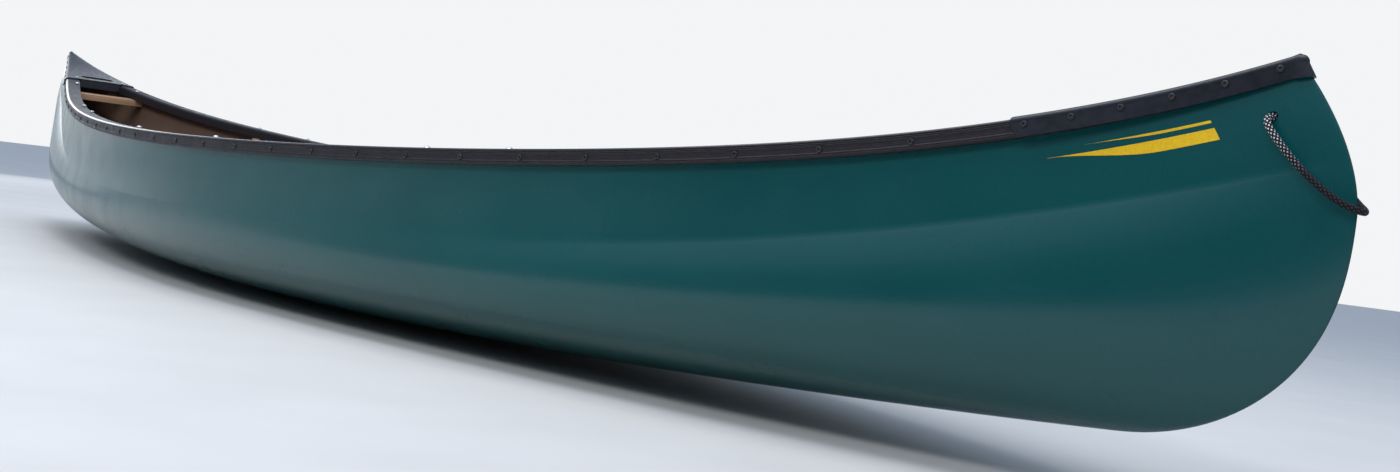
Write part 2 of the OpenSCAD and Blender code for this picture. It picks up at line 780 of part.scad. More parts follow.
bar_fasteners("bolt", yoke_x);  // yoke_bolts
bar_fasteners("washer", yoke_x);  // yoke_washers
bar_fasteners("nut", yoke_x);  // yoke_nuts
thwart();
bar_fasteners("bolt", thwart_x);  // thwart_bolts
bar_fasteners("washer", thwart_x);  // thwart_washers
bar_fasteners("nut", thwart_x);  // thwart_nuts
handle(handle_x);  // handle_bow
bar_fasteners("bolt", handle_x);  // handle_bow_bolts
bar_fasteners("washer", handle_x);  // handle_bow_washers
bar_fasteners("nut", handle_x);  // handle_bow_nuts
handle(-handle_x);  // handle_stern
bar_fasteners("bolt", -handle_x);  // handle_stern_bolts
bar_fasteners("washer", -handle_x);  // handle_stern_washers
bar_fasteners("nut", -handle_x);  // handle_stern_nuts
bow_rope();
bow_rope_knot();
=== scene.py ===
"""The looks of an open two-person canoe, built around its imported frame. Lengths are in metres.

X runs from stern to bow, Y to port and Z up. The hull's lines are the same formulas as in
the part's source, evaluated on a finer grid.
"""

import math

import bmesh
import bpy
import numpy as np
from mathutils import Matrix, Vector


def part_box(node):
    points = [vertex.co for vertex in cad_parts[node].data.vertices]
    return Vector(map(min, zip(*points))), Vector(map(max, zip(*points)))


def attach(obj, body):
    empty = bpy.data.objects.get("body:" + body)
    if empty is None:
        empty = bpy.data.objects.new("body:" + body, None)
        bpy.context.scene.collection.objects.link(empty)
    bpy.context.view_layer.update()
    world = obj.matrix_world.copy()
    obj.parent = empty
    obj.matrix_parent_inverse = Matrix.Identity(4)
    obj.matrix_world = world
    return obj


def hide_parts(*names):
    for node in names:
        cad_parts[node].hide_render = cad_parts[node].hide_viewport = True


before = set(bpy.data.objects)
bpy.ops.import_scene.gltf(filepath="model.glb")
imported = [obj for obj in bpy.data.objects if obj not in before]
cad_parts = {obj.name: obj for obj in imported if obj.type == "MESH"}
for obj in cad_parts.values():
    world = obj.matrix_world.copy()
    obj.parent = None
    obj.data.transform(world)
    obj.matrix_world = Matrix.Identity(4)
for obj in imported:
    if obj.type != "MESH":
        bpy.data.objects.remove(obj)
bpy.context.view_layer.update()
MM = 0.001

# Hull
GUNWALE_LEN = 4.800
STEM_BULGE = 0.100
GUNWALE_BEAM = 0.910
SHOULDER_EXTRA = 0.010
MID_DEPTH = 0.330
END_RISE = 0.245
SHOULDER_Z = 0.185
SHOULDER_RISE = 0.275
ROCKER = 0.090
STEP_DEPTH = 0.004
HULL_WALL = 0.006
STEM_EDGE = 0.005
STEM_SOLID = 0.035
FLAT_CUT = 0.0012
RIM_EASE = 0.0005
LOW_STEPS = 14
HIGH_STEPS = 4
GIRTH = LOW_STEPS + HIGH_STEPS
LEAST_K = 0.5
LEAST_HALF = 0.0012
HALF_LEN = GUNWALE_LEN / 2
TIP_Z = MID_DEPTH + END_RISE
STEM_Z = SHOULDER_Z + SHOULDER_RISE
STEM_X = HALF_LEN + STEM_BULGE
BULGE_Z = 0.68 * TIP_Z
KEEL_END_X = HALF_LEN - 2.4 * STEM_BULGE
SHOULDER_BEAM = GUNWALE_BEAM + SHOULDER_EXTRA

# Gunwales, as distances outward from the hull's edge and upward from it. This rail is 27 mm tall
# and the frame's is 33 mm, so the frame's bolt heads and deck screws don't rest on these tops:
# they stand 1 to 4 mm above them.
GAP = 0.0003
RAIL_OUT = 0.013
RAIL_IN = 0.030
RAIL_TOP = 0.003
RAIL_DROP = 0.024
RAIL_WALL = 0.003
CORE_DROP = 0.022
CORE_WALL = 0.002
CORE_OUT = -(HULL_WALL + 0.0022)
RAIL_END = 2.270
RAIL_ROUND_IN = 0.006
RAIL_ROUND_OUT = 0.0048
FOOT_EASE = 0.0006
LEAST_LEAN = 0.0013
RIVET_PITCH = 0.150
RIVETS_EACH_WAY = 13
RIVET_R = 0.00475
RIVET_SHANK_R = 0.0024
RIVET_LIFT = 0.0001
RIVET_TAIL_LEN = 0.003
RIVET_TAIL_R = RIVET_SHANK_R + 0.001
RIVET_Z = -RAIL_DROP / 2
RIB_HEIGHT = 0.0013
RIBS_Z = (-0.0032, -0.0060, -0.0178, -0.0206)

# Deck plates
DECK_START = 2.052
DECK_SLANT = 0.018
DECK_WALL = 0.0030
DECK_RIM = 0.0315
DECK_TOP = RAIL_TOP + GAP + DECK_WALL
DECK_OUT = RAIL_OUT + GAP + DECK_WALL
DECK_CORNER = 0.010
NOSE_LIFT = 0.005
NOSE_REACH = 0.006
NARROW_FROM = 2.055
NARROW_TO = 0.42
NOSE_X = HALF_LEN - 0.002
SLOT_W = 0.028
SLOT_LEN = 0.104
GRAB_BAR = 0.024
SLOT_X = DECK_START + GRAB_BAR + SLOT_W / 2
LIP_T = 0.004
LIP_DROP = 0.024
EDGE_ROUND = 0.0008
DECK_RIVET_X = DECK_START + 0.022
DECK_RIVET_PITCH = 0.062
DECK_RIVETS_SIDE = 6
DECK_RIVET_Z = -0.008

# Seats
WEB_STRAP_T = 0.0012
WEB_WAVE = 0.0007
STRAP_GAP = 0.006

# Rope: the route on the starboard side, from the knot to the stem, in millimetres. The frame's
# rope is 10 mm thick, on a slightly different route.
ROPE_D = 0.009
ROPE_HOLE_R = 0.0065
ROPE_HOLE = (2.383, 0.502)
KNOT_X = 2.3735
KNOT_R = 0.0115
KNOT_CORD_R = 0.0034
KNOT_MARGIN = 0.0035
ROPE_HALF = [
    (2383, -6, 502), (2383, -13, 502), (2383, -20, 501.3), (2384.5, -27, 498.5),
    (2388, -32.5, 493.5), (2394, -35.5, 486.5), (2402, -36.5, 478), (2412, -36.5, 468),
    (2424, -36, 456.5), (2436, -34.5, 445.5), (2449, -32.5, 434.5), (2463, -29.5, 423.5),
    (2477, -25.5, 413.5), (2489, -20, 406), (2499.5, -13, 401), (2505.5, -6, 398.5),
]
ROPE_MID = (2507.5, 0, 398)

# Stripes as (start, end, low, high): shares of the hull's length, and places up its girth
STRIPES = ((0.862, 0.948, 15.80, 16.30), (0.884, 0.948, 16.52, 16.63))
STRIPE_LAYERS = (0.00035, 0.00005)
SIDES = (("port", True), ("starboard", False))

# Camera and stage
CAMERA_PLACE = Vector((3.6119, -1.7799, 0.3112))
CAMERA_YAW = math.radians(-52.806)
CAMERA_PITCH = math.radians(-0.955)
CAMERA_ROLL = math.radians(6.987)
CAMERA_LENS = 43.93
SENSOR_W = 36.0
BACKDROP = (0.90, 0.91, 0.92)
DIM_SIDE = (0.25, -0.97, 0.0)
DIM_LEVEL = 0.10


# ---------------------------------------------------------------- the hull's lines

def mix(a, b, f):
    return a + (b - a) * f


def sheer_share(t):
    return 0.65 * t ** 2 + 0.35 * t ** 7


def stem_line(z):
    """Distance of the stem from amidships at a height."""
    low = np.clip((BULGE_Z - z) / (BULGE_Z - ROCKER), 0, 1) ** 1.25
    high = np.clip((z - BULGE_Z) / (TIP_Z - BULGE_Z), 0, 1) ** 1.75
    below = KEEL_END_X + (STEM_X - KEEL_END_X) * np.sin(np.arccos(low))
    return np.where(z < BULGE_Z, below, STEM_X - STEM_BULGE * high)


def shares(k):
    """How far k is up the lower part of the girth, its angle there, and how far up the upper."""
    low = np.minimum(1, k / LOW_STEPS)
    high = np.maximum(0, (k - LOW_STEPS) / HIGH_STEPS)
    return low, math.pi / 2 * (1 - (1 - low) ** 1.7), high


def end_height(k):
    _, angle, high = shares(k)
    return mix(ROCKER, STEM_Z, 1 - np.cos(angle) ** 0.8) + (TIP_Z - STEM_Z) * high


def edge_half(t):
    return STEM_EDGE * np.sqrt(np.maximum(0, 1 - t ** 40))


def hull_raw(k, t):
    """A point on the outside: k from 0 at the keel to GIRTH at the gunwale, t from -1 to 1."""
    k, t = np.broadcast_arrays(np.asarray(k, float), np.asarray(t, float))
    low, angle, high = shares(k)
    along = np.abs(t)
    half_mid = (
        SHOULDER_BEAM / 2 * np.sin(angle) ** 0.92
        - SHOULDER_EXTRA / 2 * high
        - STEP_DEPTH * (1 - along ** 6) * np.sin(math.pi * high ** 0.6)
    )
    fineness = mix(0.7, 1.2, low) - 0.05 * high
    half = half_mid * np.maximum(0, 1 - along ** 1.8) ** fineness
    y = half + edge_half(along) * np.minimum(1, k / 2) + 0.5 * MM * along
    mid_z = SHOULDER_Z * (1 - np.cos(angle) ** 0.59) + (MID_DEPTH - SHOULDER_Z) * high
    rise = np.where(
        k < LOW_STEPS,
        mix(along ** 1.9, along ** 2.8, low),
        mix(along ** 2.8, sheer_share(along), high),
    )
    end_z = end_height(k)
    z = mix(mid_z, end_z, rise)
    return np.stack([stem_line(end_z) * t, np.where(k == 0, 0, y), z], axis=-1)


def unit(v):
    return v / np.maximum(1e-12, np.linalg.norm(v, axis=-1, keepdims=True))


def hull_normal(k, t):
    """Inward normal of the port side."""
    along = hull_raw(k, np.minimum(0.999, t + 0.004)) - hull_raw(k, np.maximum(-0.999, t - 0.004))
    up = hull_raw(np.minimum(GIRTH, k + 0.2), t) - hull_raw(np.maximum(0.001, k - 0.2), t)
    return unit(np.cross(along, up))


def hull_point(k, t, depth):
    """A point of the port side, a depth inside the outer face, or outside it if negative."""
    k, t = np.broadcast_arrays(np.asarray(k, float), np.asarray(t, float))
    if depth <= 0:
        p = hull_raw(k, t)
        if depth < 0:
            p = p + depth * hull_normal(np.maximum(LEAST_K, k), t)
        p[..., 2] = np.maximum(0, p[..., 2] - FLAT_CUT)
        return p
    share = depth / HULL_WALL
    s = t * (1 - share * STEM_SOLID / stem_line(end_height(k)))
    p = hull_raw(k, s) + depth * hull_normal(np.maximum(LEAST_K, k), s)
    least = LEAST_HALF * share * np.minimum(1, k / 3)
    p[..., 1] = np.where(k == 0, 0, np.maximum(least, p[..., 1]))
    p[..., 2] = np.where(k == GIRTH, edge_z(p[..., 0]) - share * RIM_EASE, p[..., 2] - FLAT_CUT)
    return p


def edge_t(x):
    return np.minimum(1, np.abs(x) / HALF_LEN)


def edge_y(x):
    return hull_raw(GIRTH, edge_t(x))[..., 1]


def edge_z(x):
    return mix(MID_DEPTH, TIP_Z, sheer_share(edge_t(x))) - FLAT_CUT


def edge_slope(x):
    return (edge_y(x + MM) - edge_y(x - MM)) / (2 * MM)


def edge_grow(x):
    return np.sqrt(1 + edge_slope(x) ** 2)


def edge_point(x, n, z):
    """A place beside the port gunwale line: n outward, square to the line, and z up."""
    x, n, z = np.broadcast_arrays(np.asarray(x, float), n, z)
    return np.stack([x, edge_y(x) + n * edge_grow(x), edge_z(x) + z], axis=-1)


def side_y(x, z):
    """Half width of the hull at a place and height, for single numbers."""
    k = np.linspace(0, GIRTH, 181)
    p = hull_raw(k, np.minimum(1, abs(x) / stem_line(end_height(k))))
    return float(np.interp(z, p[:, 2] - FLAT_CUT, p[:, 1]))


def side_lean(x):
    """How far the hull's side stands outside its edge at the foot of the gunwale."""
    x = float(x)
    foot = side_y(x, float(edge_z(x)) - RAIL_DROP)
    return max(0.0, foot - float(edge_y(x))) + LEAST_LEAN


def lean(x, z):
    """Lean of the gunwale's outer leg at each place, which follows the side of the hull."""
    slope = np.vectorize(side_lean)(x) / RAIL_DROP
    return slope * np.maximum(0, -np.asarray(z, float))


# ---------------------------------------------------------------- meshes

def ring_faces(rings, n):
    """Quads that join rings of n points each, all the way round."""
    i = np.arange(rings - 1)[:, None] * n
    j = np.arange(n)[None, :]
    a, b = i + j, i + (j + 1) % n
    return np.stack([a, b, b + n, a + n], axis=-1).reshape(-1, 4).tolist()


def capped_faces(rings, n):
    """The same quads, with a face over each end."""
    last = (rings - 1) * n
    return ring_faces(rings, n) + [list(range(n)), [last + j for j in range(n)]]


def make_mesh(name, points, faces, sharp=40):
    mesh = bpy.data.meshes.new(name)
    mesh.from_pydata([tuple(p) for p in np.asarray(points, float).reshape(-1, 3)], [], faces)
    mesh.validate()
    shade(mesh, sharp)
    piece = bpy.data.objects.new(name, mesh)
    bpy.context.scene.collection.objects.link(piece)
    return piece


def shade(mesh, sharp=40):
    """Faces outward, smooth shading, and sharp edges above an angle in degrees."""
    bm = bmesh.new()
    bm.from_mesh(mesh)
    bmesh.ops.recalc_face_normals(bm, faces=bm.faces)
    bm.to_mesh(mesh)
    bm.free()
    mesh.polygons.foreach_set("use_smooth", [True] * len(mesh.polygons))
    mesh.set_sharp_from_angle(angle=math.radians(sharp))


def finish_piece(piece, material, slot, *nodes):
    """Gives a piece its material, and lets it stand for CAD nodes; the slot is not used."""
    piece.data.materials.clear()
    piece.data.materials.append(material)
    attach(piece, "root")
    if nodes:
        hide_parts(*nodes)
    return piece


def apply_modifiers(piece, sharp=40):
    graph = bpy.context.evaluated_depsgraph_get()
    mesh = bpy.data.meshes.new_from_object(piece.evaluated_get(graph))
    piece.modifiers.clear()
    piece.data = mesh
    shade(mesh, sharp)
    return piece


def round_edges(piece, width, segments, angle):
    """A bevel, not yet applied, on edges sharper than an angle in degrees."""
    rounding = piece.modifiers.new("edges", "BEVEL")
    rounding.width = width
    rounding.segments = segments
    rounding.limit_method = "ANGLE"
    rounding.angle_limit = math.radians(angle)


def cut(piece, cutters, operation="DIFFERENCE"):
    """Cuts closed pieces out of a piece, or joins them to it, then removes them."""
    for cutter in cutters:
        modifier = piece.modifiers.new("cut", "BOOLEAN")
        modifier.operation = operation
        modifier.solver = "EXACT"
        modifier.object = cutter
    apply_modifiers(piece)
    for cutter in cutters:
        bpy.data.objects.remove(cutter)
    return piece


def joined(name, parts, sharp=40):
    """One mesh of several closed shells, each given as (points, faces)."""
    points, faces, base = [], [], 0
    for p, f in parts:
        p = np.asarray(p, float).reshape(-1, 3)
        points.append(p)
        faces += [[v + base for v in face] for face in f]
        base += len(p)
    return make_mesh(name, np.concatenate(points), faces, sharp)


def lathe(profile, segments=28):
    """A closed solid turned about Y from (radius, y) pairs; its first and last radius are 0."""
    a = np.arange(segments) * 2 * math.pi / segments
    rings = [
        np.stack([r * np.cos(a), np.full(segments, y), r * np.sin(a)], -1)
        for r, y in profile[1:-1]
    ]
    points = np.concatenate([*rings, [[0, profile[0][1], 0]], [[0, profile[-1][1], 0]]])
    faces = ring_faces(len(rings), segments)
    first, last = len(points) - 2, len(points) - 1
    top = (len(rings) - 1) * segments
    for j in range(segments):
        n = (j + 1) % segments
        faces += [[first, n, j], [last, top + j, top + n]]
    return points, faces


def box_shell(low, high):
    (x0, y0, z0), (x1, y1, z1) = low, high
    points = [(x, y, z) for x in (x0, x1) for y in (y0, y1) for z in (z0, z1)]
    faces = [[0, 1, 3, 2], [4, 6, 7, 5], [0, 4, 5, 1], [2, 3, 7, 6], [0, 2, 6, 4], [1, 5, 7, 3]]
    return points, faces


def cylinder_along(axis, centre, radius, half_length, segments=48):
    ends = (-half_length, half_length)
    profile = [(0, ends[0]), (radius, ends[0]), (radius, ends[1]), (0, ends[1])]
    points, faces = lathe(profile, segments)
    turn = {"Y": np.eye(3), "Z": np.array([[1, 0, 0], [0, 0, -1], [0, 1, 0]])}[axis]
    return np.asarray(points) @ turn.T + np.asarray(centre), faces


def mirrored(shell, axis):
    points, faces = shell
    flip = np.ones(3)
    flip[axis] = -1
    return np.asarray(points, float).reshape(-1, 3) * flip, [face[::-1] for face in faces]


# ---------------------------------------------------------------- materials

def link(tree, a, b):
    tree.links.new(a, b)


def new_material(name, color, roughness, **settings):
    """A Principled material; settings name the shader's own sockets."""
    material = bpy.data.materials.new(name)
    material.use_nodes = True
    shader = material.node_tree.nodes["Principled BSDF"]
    shader.inputs["Base Color"].default_value = (*color, 1)
    shader.inputs["Roughness"].default_value = roughness
    for socket, value in settings.items():
        shader.inputs[socket.replace("_", " ")].default_value = value
    return material, material.node_tree, shader


def noise(tree, scale, stretch=(1, 1, 1), detail=4.0, kind="ShaderNodeTexNoise"):
    """A texture's value over the frame's own coordinates, in metres."""
    coords = tree.nodes.new("ShaderNodeTexCoord")
    mapping = tree.nodes.new("ShaderNodeMapping")
    mapping.inputs["Scale"].default_value = stretch
    texture = tree.nodes.new(kind)
    texture.inputs["Scale"].default_value = scale
    if "Detail" in texture.inputs:
        texture.inputs["Detail"].default_value = detail
    link(tree, coords.outputs["Object"], mapping.inputs["Vector"])
    link(tree, mapping.outputs["Vector"], texture.inputs["Vector"])
    return texture.outputs["Fac"] if "Fac" in texture.outputs else texture.outputs["Distance"]


def ramp(tree, value, stops):
    """A colour ramp over a value, from (position, colour) stops."""
    node = tree.nodes.new("ShaderNodeValToRGB")
    elements = node.color_ramp.elements
    while len(elements) < len(stops):
        elements.new(0.5)
    for element, (position, color) in zip(elements, stops):
        element.position = position
        element.color = (*color, 1)
    link(tree, value, node.inputs["Fac"])
    return node.outputs["Color"]


def blend_colors(tree, factor, a, b):
    node = tree.nodes.new("ShaderNodeMix")
    node.data_type = "RGBA"
    for socket, value in (("Factor", factor), ("A", a), ("B", b)):
        target = [s for s in node.inputs if s.name == socket and s.enabled][0]
        if isinstance(value, (tuple, float)):
            target.default_value = (*value, 1) if isinstance(value, tuple) else value
        else:
            link(tree, value, target)
    return [s for s in node.outputs if s.enabled][0]


def to_range(tree, value, low, high, to_low, to_high):
    node = tree.nodes.new("ShaderNodeMapRange")
    numbers = {"From Min": low, "From Max": high, "To Min": to_low, "To Max": to_high}
    for socket, number in numbers.items():
        node.inputs[socket].default_value = number
    link(tree, value, node.inputs["Value"])
    return node.outputs["Result"]


def mixed(tree, factor, a, b):
    """A value between a and the number b."""
    node = tree.nodes.new("ShaderNodeMix")
    link(tree, factor, node.inputs[0])
    link(tree, a, node.inputs[2])
    node.inputs[3].default_value = b
    return node.outputs[0]


def product(tree, a, b):
    node = tree.nodes.new("ShaderNodeMath")
    node.operation = "MULTIPLY"
    link(tree, a, node.inputs[0])
    link(tree, b, node.inputs[1])
    return node.outputs[0]


def bump(tree, shader, *layers):
    """Bump from (height, distance in metres, strength) layers."""
    normal = None
    for height, distance, strength in layers:
        node = tree.nodes.new("ShaderNodeBump")
        node.inputs["Distance"].default_value = distance
        node.inputs["Strength"].default_value = strength
        link(tree, height, node.inputs["Height"])
        if normal:
            link(tree, normal, node.inputs["Normal"])
        normal = node.outputs["Normal"]
    link(tree, normal, shader.inputs["Normal"])


def height_above_floor(tree):
    coords = tree.nodes.new("ShaderNodeTexCoord")
    split = tree.nodes.new("ShaderNodeSeparateXYZ")
    link(tree, coords.outputs["Object"], split.inputs["Vector"])
    return split.outputs["Z"]


def hull_green():
    material, tree, shader = new_material(
        "hull_green", (0.0, 0.09, 0.09), 0.24,
        Specular_IOR_Level=0.42, Coat_Weight=0.12, Coat_Roughness=0.10,
    )
    patches = noise(tree, 2.3, detail=3)
    speckle = noise(tree, 900, detail=2)
    body = ramp(tree, patches, [(0.3, (0.0, 0.058, 0.064)), (0.7, (0.001, 0.078, 0.080))])
    fine = ramp(tree, speckle, [(0.35, (0.0, 0.055, 0.060)), (0.68, (0.004, 0.088, 0.088))])
    color = blend_colors(tree, 0.45, body, fine)
    # Painted reflection: lighter greyish-teal streaks towards the keel stand in for the sheen seen on the
    # lower hull.
    streaks = noise(tree, 1, stretch=(1.6, 160, 160), detail=6)
    near_keel = to_range(tree, height_above_floor(tree), 0.14, 0.02, 0, 0.5)
    sheen_streaks = to_range(tree, streaks, 0.62, 0.74, 0, 1)
    sheen_streaked = blend_colors(tree, product(tree, near_keel, sheen_streaks), color, (0.055, 0.15, 0.145))
    link(tree, sheen_streaked, shader.inputs["Base Color"])
    link(tree, to_range(tree, noise(tree, 9, detail=2), 0.3, 0.7, 0.21, 0.28), shader.inputs["Roughness"])
    waves = noise(tree, 16, detail=2)
    texture = noise(tree, 420, detail=3)
    bump(tree, shader, (waves, 0.0012, 0.18), (texture, 0.00010, 0.30))
    return material


def hull_lining():
    material, tree, shader = new_material(
        "hull_lining", (0.19, 0.12, 0.09), 0.55, Specular_IOR_Level=0.35,
    )
    cloud = noise(tree, 5, detail=5)
    patches = ramp(tree, cloud, [(0.3, (0.175, 0.112, 0.084)), (0.7, (0.24, 0.158, 0.118))])
    speckle = noise(tree, 800, detail=2)
    grain = ramp(tree, speckle, [(0.35, (0.14, 0.088, 0.064)), (0.7, (0.27, 0.18, 0.135))])
    link(tree, blend_colors(tree, 0.35, patches, grain), shader.inputs["Base Color"])
    link(tree, to_range(tree, noise(tree, 30), 0.3, 0.7, 0.48, 0.64), shader.inputs["Roughness"])
    bump(tree, shader, (noise(tree, 600, kind="ShaderNodeTexVoronoi"), 0.0003, 0.35))
    return material


def gunwale_vinyl():
    """Satin vinyl; the mesh's worn attribute marks the polished outer corner."""
    material, tree, shader = new_material(
        "gunwale_vinyl", (0.014, 0.013, 0.016), 0.46, Specular_IOR_Level=0.28,
    )
    lines = noise(tree, 1, stretch=(3, 500, 500), detail=5)
    color = ramp(tree, lines, [(0.3, (0.011, 0.010, 0.013)), (0.7, (0.028, 0.024, 0.028))])
    link(tree, color, shader.inputs["Base Color"])
    worn = tree.nodes.new("ShaderNodeAttribute")
    worn.attribute_name = "worn"
    dull = to_range(tree, noise(tree, 40), 0.3, 0.7, 0.42, 0.56)
    link(tree, mixed(tree, worn.outputs["Fac"], dull, 0.16), shader.inputs["Roughness"])
    bump(tree, shader, (lines, 0.00008, 0.35), (noise(tree, 25), 0.0006, 0.10))
    return material


def deck_plastic():
    material, tree, shader = new_material(
        "deck_plastic", (0.008, 0.009, 0.013), 0.34, Specular_IOR_Level=0.38,
    )
    cloud = noise(tree, 60, detail=6)
    color = ramp(tree, cloud, [(0.3, (0.006, 0.007, 0.011)), (0.72, (0.014, 0.015, 0.022))])
    link(tree, color, shader.inputs["Base Color"])
    dull = to_range(tree, noise(tree, 120, detail=6), 0.3, 0.7, 0.28, 0.42)
    link(tree, dull, shader.inputs["Roughness"])
    grain = noise(tree, 1100, kind="ShaderNodeTexVoronoi")
    bump(tree, shader, (grain, 0.00016, 0.22), (noise(tree, 22), 0.0010, 0.12))
    return material


def dark_rivet():
    material, tree, shader = new_material(
        "dark_rivet", (0.012, 0.012, 0.014), 0.32, Specular_IOR_Level=0.6,
    )
    speckle = noise(tree, 500)
    color = ramp(tree, speckle, [(0.4, (0.010, 0.010, 0.012)), (0.75, (0.045, 0.045, 0.048))])
    link(tree, color, shader.inputs["Base Color"])
    bump(tree, shader, (noise(tree, 900), 0.0001, 0.2))
    return material


def metal(name, color, roughness, stretch):
    material, tree, shader = new_material(name, color, roughness, Metallic=1.0)
    lines = noise(tree, 1, stretch=stretch, detail=4)
    dull = to_range(tree, lines, 0.3, 0.7, roughness - 0.07, roughness + 0.10)
    link(tree, dull, shader.inputs["Roughness"])
    shade_of = ramp(tree, lines, [(0.3, tuple(0.86 * c for c in color)), (0.7, color)])
    link(tree, shade_of, shader.inputs["Base Color"])
    bump(tree, shader, (lines, 0.00005, 0.3))
    return material


def ash_wood(name, stretch, rings_stretch):
    """Varnished ash with its grain along one axis."""
    material, tree, shader = new_material(
        name, (0.52, 0.33, 0.16), 0.36, Specular_IOR_Level=0.4, Coat_Weight=0.35, Coat_Roughness=0.18,
    )
    bands = noise(tree, 1, stretch=rings_stretch, detail=3)
    fibres = noise(tree, 1, stretch=stretch, detail=6)
    broad = ramp(tree, bands, [
        (0.30, (0.34, 0.195, 0.105)), (0.50, (0.50, 0.315, 0.185)), (0.68, (0.39, 0.235, 0.130)),
    ])
    fine = ramp(tree, fibres, [(0.30, (0.25, 0.135, 0.070)), (0.55, (0.52, 0.335, 0.200))])
    link(tree, blend_colors(tree, 0.42, broad, fine), shader.inputs["Base Color"])
    link(tree, to_range(tree, fibres, 0.3, 0.7, 0.30, 0.45), shader.inputs["Roughness"])
    bump(tree, shader, (fibres, 0.00012, 0.35))
    return material


def seat_web():
    material, tree, shader = new_material(
        "seat_web", (0.016, 0.016, 0.018), 0.62, Sheen_Weight=0.25, Sheen_Roughness=0.5,
    )
    weave = noise(tree, 1, stretch=(900, 900, 900), detail=1)
    color = ramp(tree, weave, [(0.35, (0.009, 0.009, 0.011)), (0.65, (0.035, 0.035, 0.038))])
    link(tree, color, shader.inputs["Base Color"])
    bump(tree, shader, (weave, 0.00025, 0.6))
    return material


def rope_black():
    """Black braid; a mesh attribute marks its pale tracer strands, brightened by a painted highlight near
    the rope's ends by the hole.
    """
    material, tree, shader = new_material(
        "rope_black", (0.004, 0.004, 0.006), 0.6, Specular_IOR_Level=0.18,
    )
    tracer_and_glint = tree.nodes.new("ShaderNodeAttribute")
    tracer_and_glint.attribute_name = "tracer_and_glint"
    dark = ramp(tree, noise(tree, 1500), [(0.35, (0.003, 0.003, 0.005)), (0.65, (0.012, 0.012, 0.015))])
    color = blend_colors(tree, tracer_and_glint.outputs["Fac"], dark, (0.85, 0.85, 0.87))
    link(tree, color, shader.inputs["Base Color"])
    bump(tree, shader, (noise(tree, 2200), 0.0001, 0.3))
    return material


def stripe_yellow():
    material, tree, shader = new_material(
        "stripe_yellow", (0.80, 0.50, 0.012), 0.30, Specular_IOR_Level=0.5,
    )
    color = ramp(tree, noise(tree, 300), [(0.3, (0.74, 0.44, 0.010)), (0.7, (0.86, 0.56, 0.018))])
    link(tree, color, shader.inputs["Base Color"])
    bump(tree, shader, (noise(tree, 350), 0.00005, 0.2))
    return material


# ---------------------------------------------------------------- rope

def smooth_route(points, step):
    """Points a step apart on a smooth curve through the given points."""
    p = np.asarray(points, float)
    p = np.concatenate([[2 * p[0] - p[1]], p, [2 * p[-1] - p[-2]]])
    fine = []
    for a, b, c, d in zip(p[:-3], p[1:-2], p[2:-1], p[3:]):
        second = 2 * a - 5 * b + 4 * c - d
        third = 3 * b - a - 3 * c + d
        for u in np.arange(20) / 20:
            fine.append(0.5 * (2 * b + (c - a) * u + second * u ** 2 + third * u ** 3))
    fine = np.array([*fine, p[-2]])
    s = np.concatenate([[0], np.cumsum(np.linalg.norm(np.diff(fine, axis=0), axis=1))])
    at = np.linspace(0, s[-1], max(8, int(round(s[-1] / step))))
    return np.stack([np.interp(at, s, fine[:, i]) for i in range(3)], -1), s[-1]


def braid_tube(name, route, radius, around, strands, relief, material, glint_fade=0.0, closed=False):
    """A tube along a route, raised in a braid's diamonds; its pale tracer flecks fade away from its ends,
    a painted highlight on the lit rope by the hole.
    """
    n = len(route)
    if closed:
        way = unit(np.roll(route, -1, 0) - np.roll(route, 1, 0))
    else:
        way = unit(np.gradient(route, axis=0))
    side = np.array([0.8, 0, 0.6]) if not closed else np.array([0, 0, 1.0])
    u = unit(np.cross(way, side))
    v = np.cross(way, u)
    step = np.linalg.norm(np.diff(route, axis=0), axis=1).mean()
    s = np.arange(n)[:, None] * step
    a = np.arange(around)[None, :] * 2 * math.pi / around
    pitch = 2 * math.pi * radius / strands * 1.25
    right = strands * a / (2 * math.pi) + s / pitch
    left = strands * a / (2 * math.pi) - s / pitch
    diamond = (np.abs(np.cos(math.pi * right)) * np.abs(np.cos(math.pi * left))) ** 0.5
    r = radius - relief * (1 - diamond)
    outward = u[:, None] * np.cos(a)[..., None] + v[:, None] * np.sin(a)[..., None]
    points = route[:, None] + r[..., None] * outward
    faces = ring_faces(n, around) if closed else capped_faces(n, around)
    if closed:
        last = (n - 1) * around
        faces += [[last + j, last + (j + 1) % around, (j + 1) % around, j] for j in range(around)]
    piece = make_mesh(name, points, faces, 80)
    tracer = (np.round(right) % 2 == 0) & (np.round(left) % 2 == 0)
    from_end = np.minimum(s, s[-1] - s)
    # Painted highlight: the tracer flecks are brightest by the ends, high up at the hole, and fade
    # towards the rope's low middle.
    painted_glint = np.clip(1.6 - from_end / max(glint_fade, 1e-6), 0.06, 1)
    tracer_and_glint = np.where(tracer, np.minimum(1, 1.3 * diamond), 0) * painted_glint
    tracer_and_glint = tracer_and_glint.reshape(-1).astype(np.float32)
    piece.data.attributes.new("tracer_and_glint", "FLOAT", "POINT").data.foreach_set("value", tracer_and_glint)
    return finish_piece(piece, material, "rope", name.replace("braided_", ""))


def knot_route():
    """A closed trefoil, which fits the knot's ball."""
    a = np.linspace(0, 2 * math.pi, 240, endpoint=False)
    r = 2 + np.cos(3 * a)
    p = np.stack([np.sin(3 * a) * 1.2, r * np.cos(2 * a), r * np.sin(2 * a)], -1)
    return p / 3 * (KNOT_R - KNOT_MARGIN) + np.array([KNOT_X, 0, ROPE_HOLE[1]])


